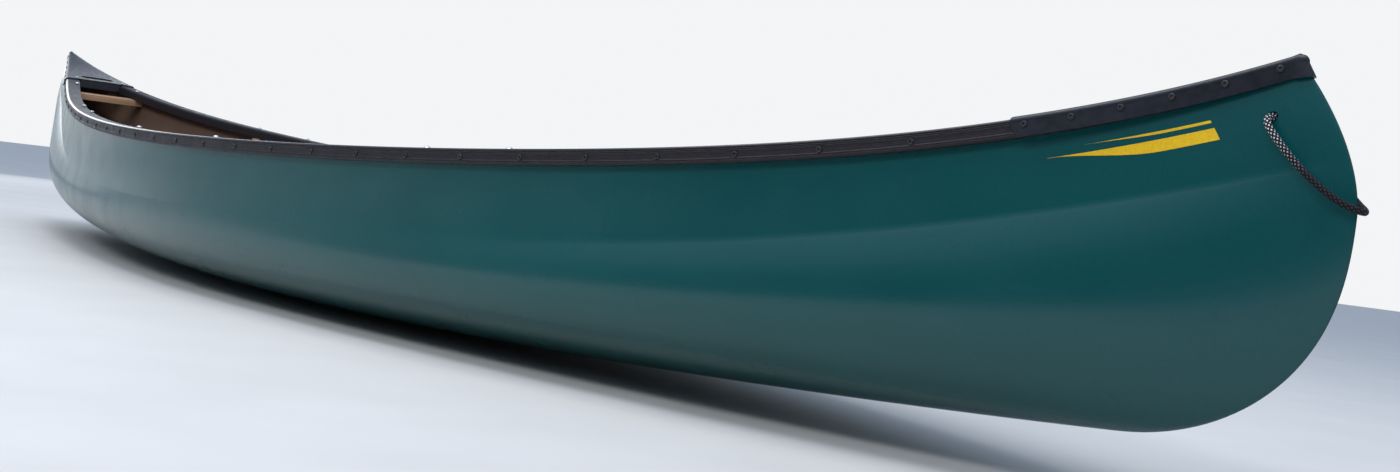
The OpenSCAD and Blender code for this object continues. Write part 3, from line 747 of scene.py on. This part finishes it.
def make_rope():
    material = rope_black()
    half = [tuple(MM * c for c in p) for p in ROPE_HALF]
    other = [(x, -y, z) for x, y, z in half[::-1]]
    route, length = smooth_route([*half, tuple(MM * c for c in ROPE_MID), *other], 0.0005)
    rope = braid_tube(
        "braided_bow_rope", route, ROPE_D / 2, around=60, strands=10, relief=0.0006,
        material=material, glint_fade=0.075,
    )
    knot = braid_tube(
        "braided_bow_rope_knot", knot_route(), KNOT_CORD_R, around=24, strands=8, relief=0.0003,
        material=material, glint_fade=0.2, closed=True,
    )


# ---------------------------------------------------------------- hull

def hull_side_cutters():
    """Closed cylinders that cut the rope holes at both ends."""
    return [
        joined("cutter", [cylinder_along("Y", (x, 0, ROPE_HOLE[1]), ROPE_HOLE_R, 0.06)])
        for x in (ROPE_HOLE[0], -ROPE_HOLE[0])
    ]


def hull_layer(name, outer, inner, stations=181, per_step=4):
    """A closed shell of the hull between two depths inside its outer face."""
    ks = np.linspace(0, GIRTH, GIRTH * per_step + 1)
    ts = np.sin(np.linspace(-math.pi / 2, math.pi / 2, stations))

    def row(t, depth):
        port = hull_point(ks, np.full_like(ks, t), depth)
        return np.concatenate([port[::-1], port[1:] * [1, -1, 1]])

    rings = np.array([np.concatenate([row(t, outer), row(t, inner)[::-1]]) for t in ts])
    n = rings.shape[1]
    width = n // 2
    faces = ring_faces(stations, n)
    for base in (0, (stations - 1) * n):
        for j in range(width - 1):
            faces.append([base + j, base + j + 1, base + n - 2 - j, base + n - 1 - j])
    return make_mesh(name, rings, faces, 50)


def make_hull():
    skin = cut(hull_layer("hull_skin", 0, HULL_WALL / 2), hull_side_cutters())
    lining = cut(hull_layer("hull_lining", HULL_WALL / 2, HULL_WALL), hull_side_cutters())
    finish_piece(skin, hull_green(), "hull_green", "hull")
    finish_piece(lining, hull_lining(), "hull_inside")


def stripe(name, t0, t1, k_low, k_high, material, port):
    """A thin tapered decal that follows the hull's side by the bow."""
    n, m = 60, 6
    ts = np.linspace(t0, t1, n)
    rise = np.clip((ts - t0) / (t1 - t0) * 1.5, 0, 1)
    taper = np.maximum(0.02, rise ** 2 * (3 - 2 * rise))
    rows = []
    for t, share in zip(ts, taper):
        ks = np.linspace(mix(k_high, k_low, share), k_high, m)
        out = [hull_point(ks, np.full(m, t), -depth) for depth in STRIPE_LAYERS]
        rows.append(np.concatenate([out[0], out[1][::-1]]))
    points = np.array(rows) * [1, 1 if port else -1, 1]
    finish_piece(make_mesh(name, points, capped_faces(n, 2 * m), 30), material, "stripe")


def make_stripes():
    """Plain generic stripes where such canoes carry their decals."""
    material = stripe_yellow()
    for side, port in SIDES:
        for i, spans in enumerate(STRIPES):
            stripe(f"bow_stripe_{i + 1}_{side}", *spans, material, port)


# ---------------------------------------------------------------- gunwales

def rail_profile():
    """The gunwale's section as (n, z): an inner leg, a rounded top and a ribbed outer leg."""
    face = RAIL_OUT - RIB_HEIGHT
    foot = -CORE_DROP - 0.0015
    top = [
        (
            -RAIL_IN + RAIL_ROUND_IN - RAIL_ROUND_IN * math.sin(a),
            RAIL_TOP - RAIL_ROUND_IN * (1 - math.cos(a)),
        )
        for a in np.linspace(math.pi / 2, 0, 7)
    ]
    shoulder = [
        (
            RAIL_OUT - RAIL_ROUND_OUT + RAIL_ROUND_OUT * math.sin(a),
            RAIL_TOP - RAIL_ROUND_OUT * (1 - math.cos(a)),
        )
        for a in np.linspace(0, math.pi / 2 * 0.85, 8)
    ]
    depths = np.linspace(-0.0018, -RAIL_DROP + 0.0012, 64)
    ribs = sum(np.exp(-((depths - z) / 0.0009) ** 2) for z in RIBS_Z)
    outer = list(zip(face + RIB_HEIGHT * np.minimum(1, ribs), depths))
    return [
        (GAP, GAP), (-RAIL_IN + RAIL_WALL, GAP), (-RAIL_IN + RAIL_WALL, foot),
        (-RAIL_IN + 0.0008, foot), (-RAIL_IN, foot + 0.0008), (-RAIL_IN, -0.008),
        *top, (RAIL_OUT - 0.0066, RAIL_TOP), *shoulder, *outer,
        (face - 0.0012, -RAIL_DROP), (GAP + FOOT_EASE, -RAIL_DROP), (GAP, -RAIL_DROP + FOOT_EASE),
    ]


def make_gunwale(side, port, material):
    profile = np.array(rail_profile())
    xs = RAIL_END * np.sin(np.linspace(-math.pi / 2, math.pi / 2, 201))
    rows = []
    for x in xs:
        slope = side_lean(x) / RAIL_DROP
        outer = (profile[:, 0] + slope * np.maximum(0, -profile[:, 1])) * narrowing(x)
        n = np.where(profile[:, 0] > GAP, np.maximum(outer, GAP + FOOT_EASE), profile[:, 0])
        rows.append(edge_point(x, n, profile[:, 1]))
    points = np.array(rows) * [1, 1 if port else -1, 1]
    piece = make_mesh(f"gunwale_rail_{side}", points, capped_faces(len(xs), len(profile)), 45)
    edge = (profile[:, 0] > RAIL_OUT - 0.0050) & (profile[:, 1] > RAIL_TOP - 0.0036)
    worn = np.tile(edge.astype(np.float32), len(xs))
    piece.data.attributes.new("worn", "FLOAT", "POINT").data.foreach_set("value", worn)
    finish_piece(piece, material, "gunwale_vinyl", f"gunwale_{side}")


def walk_to(distance):
    """The X of a place a distance along the gunwale line from amidships."""
    xs = np.arange(0, HALF_LEN - 0.04, 0.02)
    line = np.stack([xs, edge_y(xs), edge_z(xs)], -1)
    s = np.concatenate([[0], np.cumsum(np.linalg.norm(np.diff(line, axis=0), axis=1))])
    return math.copysign(float(np.interp(abs(distance), s, xs)), distance)


RIVET_HEAD = [
    (1.00, 0.00), (1.00, 0.10), (0.97, 0.25), (0.88, 0.36), (0.72, 0.42), (0.50, 0.44),
    (0.45, 0.42), (0.43, 0.20), (0.40, 0.14), (0.20, 0.14),
]


def rivet(x, n, z, tail, tail_head):
    """A button rivet with a recessed centre, square to the rim's face at a place."""
    head = [(r * RIVET_R, h * RIVET_R) for r, h in RIVET_HEAD]
    shank = [(RIVET_SHANK_R, 0.0)]
    end = tail - n
    if tail_head:
        tail_start = end + RIVET_TAIL_LEN
        shank += [(RIVET_SHANK_R, tail_start), (RIVET_TAIL_R, tail_start), (RIVET_TAIL_R, end)]
    else:
        shank += [(RIVET_SHANK_R, end)]
    points, faces = lathe([(0, end), *shank[::-1], *head, (0, head[-1][1])])
    tilt = Matrix.Rotation(math.atan(side_lean(x) / RAIL_DROP), 3, "X")
    turn = Matrix.Rotation(math.atan(float(edge_slope(x))), 3, "Z")
    place = edge_point(x, n, z)
    return np.asarray(points) @ np.array(turn @ tilt).T + place, faces


def make_gunwale_rivets(side, port, material):
    face = RAIL_OUT - RIB_HEIGHT
    shells = []
    for i in range(-RIVETS_EACH_WAY, RIVETS_EACH_WAY + 1):
        x = walk_to(i * RIVET_PITCH)
        n = face + float(lean(x, RIVET_Z)) + RIVET_LIFT
        shell = rivet(x, n, RIVET_Z, CORE_OUT - CORE_WALL - GAP, True)
        shells.append(shell if port else mirrored(shell, 1))
    piece = joined(f"rivets_along_{side}", shells, 30)
    finish_piece(piece, material, "dark_rivet", f"gunwale_rivets_{side}")


# ---------------------------------------------------------------- deck plates

def narrowing(x):
    """Share of its full reach that the trim keeps, less and less towards the nose."""
    past = np.clip((np.abs(x) - NARROW_FROM) / (NOSE_X - NARROW_FROM), 0, 1)
    return mix(1.0, NARROW_TO, past ** 1.3)


def deck_reach(x, out):
    """Distance of the plate outside the edge line."""
    return out * narrowing(x)


def deck_row(x_top, x_low, out, low, top):
    """The rim's lowest point and the plate's outer top corner on the port side."""
    foot = edge_point(x_low, deck_reach(x_low, out) + lean(x_low, low) * narrowing(x_low), low)
    return foot, edge_point(x_top, deck_reach(x_top, out), top)


def nose_row(a, out, low, top):
    """A row of the plate's round end, at an angle from square across to straight ahead."""
    reach = float(deck_reach(NOSE_X, out))
    y, z = float(edge_y(NOSE_X)), float(edge_z(NOSE_X))
    low += NOSE_LIFT * math.sin(a)
    r = y + reach
    ahead = r + NOSE_REACH * math.sin(a)
    front = max(ahead, float(stem_line(np.array(z + low))) + 0.5 * reach - NOSE_X)
    side = r + float(lean(NOSE_X, low)) * NARROW_TO
    foot = (NOSE_X + front * math.sin(a), max(0.0004, side * math.cos(a)), z + low)
    corner = (NOSE_X + ahead * math.sin(a), max(0.0004, r * math.cos(a)), z + top)
    return np.array(foot), np.array(corner)


def inset(foot, corner, under):
    """A row of the hollow inside a row of the plate, carried on below the rim."""
    centre = np.array([min(corner[0], NOSE_X), 0.0, corner[2]])
    inward = unit(centre - corner) * DECK_WALL
    top = corner + inward - np.array([0, 0, DECK_TOP - under])
    low = foot + inward
    return low + 0.6 * (low - top), top


def deck_profile(foot, corner, round_r, crown, middle):
    """Points from the port rim's foot over the plate to its middle line, which starts at middle."""
    inward = np.array(middle) - corner
    inward[2] = 0
    width = max(1e-6, float(np.linalg.norm(inward)))
    r = min(round_r, 0.9 * width)
    side = corner - np.array([0, 0, round_r])
    points = [mix(foot, side, s) for s in (0, 0.06, 0.3, 0.6, 0.9)]
    for a in np.linspace(0, math.pi / 2, 9):
        shift = inward / width * r * (1 - math.cos(a))
        points.append(corner + shift - np.array([0, 0, round_r * (1 - math.sin(a))]))
    last = points[-1]
    for s in (0.25, 0.5, 0.75, 0.92, 1.0):
        p = mix(last, np.array([middle[0], middle[1], last[2]]), s)
        points.append(p + np.array([0, 0, crown * (1 - (1 - s) ** 2)]))
    return points


def deck_rows(start, slant, out, low, top, lengthwise=44, round_nose=14):
    rows = []
    for s in np.linspace(0, 1, lengthwise, endpoint=False):
        rows.append(deck_row(mix(start, NOSE_X, s), mix(start + slant, NOSE_X, s), out, low, top))
    for i in range(round_nose + 1):
        rows.append(nose_row(i / round_nose * math.radians(89), out, low, top))
    return rows


def deck_shell(rows, round_r, crown):
    """A closed lump under a plate's rows, down to its rim."""
    rings = []
    for foot, corner in rows:
        middle = (min(corner[0], NOSE_X), 0.0, 0.0)
        port = deck_profile(foot, corner, round_r, crown, middle)
        rings.append(np.array([*port, *[p * [1, -1, 1] for p in port[-2::-1]]]))
    rings = np.array(rings)
    return rings.reshape(-1, 3), capped_faces(len(rings), rings.shape[1])


def slot_cutter():
    """A long hole with round ends through the plate."""
    reach = (SLOT_LEN - SLOT_W) / 2
    z = float(edge_z(SLOT_X))
    outline = [
        (SLOT_X + SLOT_W / 2 * math.cos(a), side * reach + SLOT_W / 2 * math.sin(a))
        for side, start in ((1, 0), (-1, math.pi))
        for a in np.linspace(start, start + math.pi, 17)
    ]
    points = [(x, y, z + dz) for dz in (-0.01, 0.03) for x, y in outline]
    return points, capped_faces(2, len(outline))


def lip(x):
    """A lip that hangs across the canoe under the plate."""
    half = float(edge_y(x + LIP_T)) - (RAIL_IN + GAP) * float(edge_grow(x + LIP_T))
    top = float(edge_z(x)) + RAIL_TOP + GAP + 0.0015
    return box_shell((x, -half, top - LIP_DROP), (x + LIP_T, half, top))


def make_deck(end, bow, plastic, rivets):
    under = RAIL_TOP + GAP
    plate_rows = deck_rows(DECK_START, DECK_SLANT, DECK_OUT, DECK_TOP - DECK_RIM, DECK_TOP)
    hollow_rows = [inset(foot, corner, under) for foot, corner in plate_rows]
    hollow_rows.insert(0, tuple(p - [0.03, 0, 0] for p in hollow_rows[0]))
    solid = joined("plate", [deck_shell(plate_rows, DECK_CORNER, 0.0012)])
    hollow = joined("hollow", [deck_shell(hollow_rows, 0.004, 0.0006)])
    cut(solid, [hollow])
    lips = [joined("lip", [lip(x)]) for x in (DECK_START, SLOT_X - SLOT_W / 2 - LIP_T)]
    cut(solid, lips, "UNION")
    cut(solid, [joined("slot", [slot_cutter()])])
    round_edges(solid, EDGE_ROUND, 2, 50)
    apply_modifiers(solid)
    if not bow:
        solid.data.transform(Matrix.Diagonal((-1, 1, 1, 1)))
        shade(solid.data)
    solid.name = f"deck_cap_{end}"
    finish_piece(solid, plastic, "deck_plastic", f"deck_plate_{end}")
    shells = []
    for i in range(DECK_RIVETS_SIDE):
        x = DECK_RIVET_X + i * DECK_RIVET_PITCH
        n = rim_face(x) + RIVET_LIFT
        tail = max(-HULL_WALL - 0.001, 0.0015 - float(edge_y(x)))
        one = rivet(x, n, DECK_RIVET_Z, tail, False)
        for shell in (one, mirrored(one, 1)):
            shells.append(shell if bow else mirrored(shell, 0))
    heads = joined(f"deck_rivet_heads_{end}", shells, 30)
    finish_piece(heads, rivets, "dark_rivet", f"deck_rivets_{end}")


def rim_face(x):
    """Distance of the rim's outer face from the edge line at a deck rivet."""
    low, high = DECK_TOP - DECK_RIM, DECK_TOP - DECK_CORNER
    share = (high - DECK_RIVET_Z) / (high - low)
    return float(deck_reach(x, DECK_OUT)) + float(lean(x, low)) * float(narrowing(x)) * share


# ---------------------------------------------------------------- woodwork and seats

def eased(node, name, width, material, slot, segments=3):
    """A copy of a CAD piece with its edges rounded over."""
    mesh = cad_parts[node].data.copy()
    bm = bmesh.new()
    bm.from_mesh(mesh)
    bmesh.ops.remove_doubles(bm, verts=bm.verts, dist=1e-6)
    bmesh.ops.dissolve_limit(bm, angle_limit=math.radians(3), verts=bm.verts, edges=bm.edges)
    bm.to_mesh(mesh)
    bm.free()
    piece = bpy.data.objects.new(name, mesh)
    bpy.context.scene.collection.objects.link(piece)
    round_edges(piece, width, segments, 40)
    apply_modifiers(piece, 50)
    return finish_piece(piece, material, slot, node)


def strap(route, across, width):
    """A flat strap as a closed shell: a rounded thin section swept along a route."""
    route = np.asarray(route, float)
    way = unit(np.gradient(route, axis=0))
    across = np.asarray(across, float)
    up = unit(np.cross(way, across))
    half_w, half_t = width / 2, WEB_STRAP_T / 2
    section = [(w, h) for w, h in (
        (-half_w, 0), (-half_w + half_t, half_t), (half_w - half_t, half_t),
        (half_w, 0), (half_w - half_t, -half_t), (-half_w + half_t, -half_t),
    )]
    points = np.array([[p + across * w + u * h for w, h in section] for p, u in zip(route, up)])
    return points, capped_faces(len(route), len(section))


def strap_route(start, end, top, bottom, wave):
    """A route over a frame from one edge to the other, turned under both, as (along, z)."""
    off, fold, bend, turn = 0.0009, 0.016, 0.003, 0.004
    first = [
        (start + fold, bottom - off), (start + turn, bottom - off),
        (start - off, bottom + bend), (start - off, top - bend),
    ]
    last = [
        (end + off, top - bend), (end + off, bottom + bend),
        (end - turn, bottom - off), (end - fold, bottom - off),
    ]
    mid = [(a, top + 2 * off + wave(a)) for a in np.linspace(start + bend, end - bend, 90)]
    return [*first, *mid, *last]


def from_ends(a, low, high):
    """0 at and beyond both ends of a span, rising to 1 over 10 mm inside them."""
    return min(1, max(0, a - low) / 0.01, max(0, high - a) / 0.01)


def make_webbing(seat, material):
    """Straps woven over and under each other, turned under the seat's frame."""
    web_low, web_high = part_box(f"{seat}_webbing")
    rails = [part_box(f"{seat}_front_rail"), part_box(f"{seat}_rear_rail")]
    bottom = rails[0][0].z
    top = rails[0][1].z
    inner_low = min(r[1].x for r in rails)
    inner_high = max(r[0].x for r in rails)
    lengthwise, crosswise = 6, 3
    pitch_y = (web_high.y - web_low.y) / lengthwise
    pitch_x = (inner_high - inner_low) / crosswise
    ys = [web_low.y + (j + 0.5) * pitch_y for j in range(lengthwise)]
    xs = [inner_low + (i + 0.5) * pitch_x for i in range(crosswise)]
    shells = []
    for j, y in enumerate(ys):
        def wave(x, j=j):
            inside = from_ends(x, inner_low, inner_high)
            return WEB_WAVE * inside * (-1) ** j * math.cos(math.pi * (x - xs[0]) / pitch_x)
        route = [(x, y, z) for x, z in strap_route(web_low.x, web_high.x, top, bottom, wave)]
        shells.append(strap(route, (0, 1, 0), pitch_y - STRAP_GAP))
    for i, x in enumerate(xs):
        def wave(y, i=i):
            inside = from_ends(y, ys[0] - pitch_y / 2, ys[-1] + pitch_y / 2)
            return -WEB_WAVE * inside * (-1) ** i * math.cos(math.pi * (y - ys[0]) / pitch_y)
        route = [(x, y, z) for y, z in strap_route(web_low.y, web_high.y, top, bottom, wave)]
        shells.append(strap(route, (1, 0, 0), pitch_x - STRAP_GAP))
    finish_piece(joined(f"{seat}_straps", shells, 50), material, "seat_web", f"{seat}_webbing")


def make_woodwork():
    across = ash_wood("ash_across", (260, 5, 260), (30, 1.2, 55))
    along = ash_wood("ash_along", (5, 260, 260), (1.2, 30, 55))
    for seat in ("bow_seat", "stern_seat"):
        for part in ("front_rail", "rear_rail"):
            eased(f"{seat}_{part}", f"{seat}_{part}_ash", 0.0035, across, "ash_wood")
        for part in ("side_port", "side_starboard"):
            eased(f"{seat}_{part}", f"{seat}_{part}_ash", 0.0030, along, "ash_wood")
        eased(f"{seat}_spacers", f"{seat}_spacers_ash", 0.0015, across, "ash_wood", 2)
    bars = {"yoke": 0.0065, "thwart": 0.0055, "handle_bow": 0.0055, "handle_stern": 0.0055}
    for node, width in bars.items():
        eased(node, f"{node}_ash", width, across, "ash_wood", 4)


def dress_fasteners():
    """Materials for the CAD pieces whose shape is right."""
    steel = metal("steel", (0.62, 0.62, 0.64), 0.30, (300, 300, 300))
    alloy = metal("core_alloy", (0.74, 0.75, 0.77), 0.36, (6, 700, 700))
    for name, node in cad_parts.items():
        if node.hide_render:
            continue
        material = alloy if name.startswith("gunwale_core") else steel
        node.data.materials.clear()
        node.data.materials.append(material)
        node.data.polygons.foreach_set("use_smooth", [True] * len(node.data.polygons))
        node.data.set_sharp_from_angle(angle=math.radians(35))


# ---------------------------------------------------------------- stage

def look_at(place, target):
    return (Vector(target) - Vector(place)).to_track_quat("-Z", "Y").to_euler()


def area_light(name, place, target, size, power, color=(1, 1, 1)):
    data = bpy.data.lights.new(name, "AREA")
    data.shape = "RECTANGLE"
    data.size, data.size_y = size
    data.energy = power
    data.color = color
    light = bpy.data.objects.new(name, data)
    light.location = place
    light.rotation_euler = look_at(place, target)
    bpy.context.scene.collection.objects.link(light)
    return light


def studio_world():
    """A pale room, dim in front of the near side, so that the deep green keeps its depth."""
    world = bpy.data.worlds.new("studio")
    bpy.context.scene.world = world
    world.use_nodes = True
    tree = world.node_tree
    background = tree.nodes["Background"]
    coords = tree.nodes.new("ShaderNodeTexCoord")
    split = tree.nodes.new("ShaderNodeSeparateXYZ")
    link(tree, coords.outputs["Generated"], split.inputs["Vector"])
    sky = ramp(tree, to_range(tree, split.outputs["Z"], -0.1, 1.0, 0, 1), [
        (0.0, (0.72, 0.76, 0.79)), (0.32, (0.58, 0.68, 0.82)), (1.0, (0.42, 0.52, 0.70)),
    ])
    toward = tree.nodes.new("ShaderNodeVectorMath")
    toward.operation = "DOT_PRODUCT"
    toward.inputs[1].default_value = DIM_SIDE
    link(tree, coords.outputs["Generated"], toward.inputs[0])
    side_dim = to_range(tree, toward.outputs["Value"], -0.15, 0.85, 0.0, 1.0)
    low_dim = to_range(tree, split.outputs["Z"], 0.22, 0.62, 1.0, 0.0)
    dim = to_range(tree, product(tree, side_dim, low_dim), 0.0, 1.0, 1.0, DIM_LEVEL)
    lit = tree.nodes.new("ShaderNodeVectorMath")
    lit.operation = "SCALE"
    link(tree, sky, lit.inputs[0])
    link(tree, dim, lit.inputs["Scale"])
    ray = tree.nodes.new("ShaderNodeLightPath")
    seen = blend_colors(tree, ray.outputs["Is Camera Ray"], lit.outputs["Vector"], BACKDROP)
    link(tree, seen, background.inputs["Color"])
    background.inputs["Strength"].default_value = 1.0


def make_stage():
    floor = joined("floor", [box_shell((-25, -25, -0.02), (25, 25, 0))])
    material, tree, shader = new_material("floor_paint", (0.62, 0.61, 0.60), 0.75)
    color = ramp(tree, noise(tree, 3), [(0.3, (0.60, 0.595, 0.585)), (0.7, (0.64, 0.635, 0.625))])
    link(tree, color, shader.inputs["Base Color"])
    floor.data.materials.append(material)
    studio_world()
    area_light("overhead", (0.3, -0.6, 4.5), (0.2, 0, 0.2), (6.0, 2.6), 150)
    front = area_light("front_side", (2.0, -4.6, 4.2), (0.6, 0, 0.3), (4.5, 1.6), 135, (1.0, 0.98, 0.95))
    front.visible_glossy = False
    area_light("far_end", (-7.0, 1.0, 1.5), (-2.2, 0, 0.5), (3.0, 1.6), 30)


def make_camera():
    data = bpy.data.cameras.new("camera")
    data.lens = CAMERA_LENS
    data.sensor_width = SENSOR_W
    camera = bpy.data.objects.new("camera", data)
    bpy.context.scene.collection.objects.link(camera)
    cy, sy = math.cos(CAMERA_YAW), math.sin(CAMERA_YAW)
    cp, sp = math.cos(CAMERA_PITCH), math.sin(CAMERA_PITCH)
    cr, sr = math.cos(CAMERA_ROLL), math.sin(CAMERA_ROLL)
    ahead = Vector((sy * cp, cy * cp, sp))
    right = Vector((cy, -sy, 0))
    up = right.cross(ahead)
    turned_right = cr * right + sr * up
    turned_up = -sr * right + cr * up
    turn = Matrix((turned_right, turned_up, -ahead)).transposed().to_4x4()
    camera.matrix_world = Matrix.Translation(CAMERA_PLACE) @ turn
    bpy.context.scene.camera = camera


bpy.context.scene.view_settings.view_transform = "Standard"
make_camera()
make_rope()
make_hull()
make_stripes()
vinyl = gunwale_vinyl()
rivet_paint = dark_rivet()
for side, port in SIDES:
    make_gunwale(side, port, vinyl)
    make_gunwale_rivets(side, port, rivet_paint)
plastic = deck_plastic()
for end, bow in (("bow", True), ("stern", False)):
    make_deck(end, bow, plastic, rivet_paint)
make_woodwork()
web = seat_web()
for seat in ("bow_seat", "stern_seat"):
    make_webbing(seat, web)
dress_fasteners()
make_stage()
